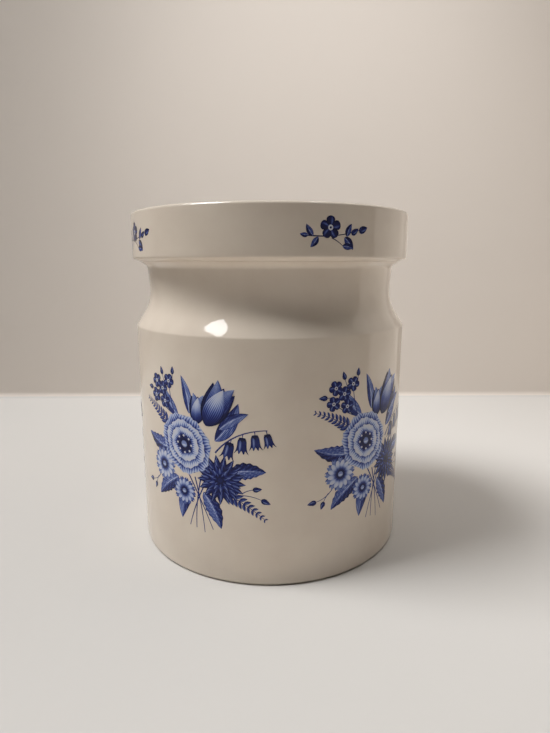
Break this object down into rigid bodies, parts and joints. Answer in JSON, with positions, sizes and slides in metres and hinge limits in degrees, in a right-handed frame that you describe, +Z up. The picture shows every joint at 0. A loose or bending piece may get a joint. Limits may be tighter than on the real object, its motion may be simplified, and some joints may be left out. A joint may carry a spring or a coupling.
{
  "type": "lidded ceramic canister",
  "caption": "Straight-sided glazed ceramic food canister with a waisted neck and a flat lift-off lid; the lid's plug carries a rubber seal ring. Blue flower sprays on off-white glaze.",
  "frame": {"origin": "middle of the base, on the surface that the foot ring rests on", "axes": "+Z up along the jar's axis of revolution, -Y towards the side that the picture shows, +X to its right"},
  "size_m": [0.13, 0.13, 0.1545],
  "materials": {
    "glazed_jar": "glossy off-white glaze with blue printed sprays, unglazed foot ring",
    "glazed_lid": "glossy off-white glaze with small blue printed sprigs, unglazed seat",
    "seal_rubber": "satin translucent silicone rubber"
  },
  "bodies": {
    "jar": {"jar": "glazed_jar"},
    "seal": {"seal_ring": "seal_rubber"},
    "lid": {"lid": "glazed_lid"}
  },
  "joints": [
    {"name": "lid_lift", "type": "slide", "parent": "jar", "child": "seal", "axis": [0, 0, 1], "range_m": [0, 0.08]},
    {"name": "lid_turn", "type": "hinge", "parent": "seal", "child": "lid", "pos_m": [0, 0, 0.1333], "axis": [0, 0, 1], "continuous": true}
  ]
}
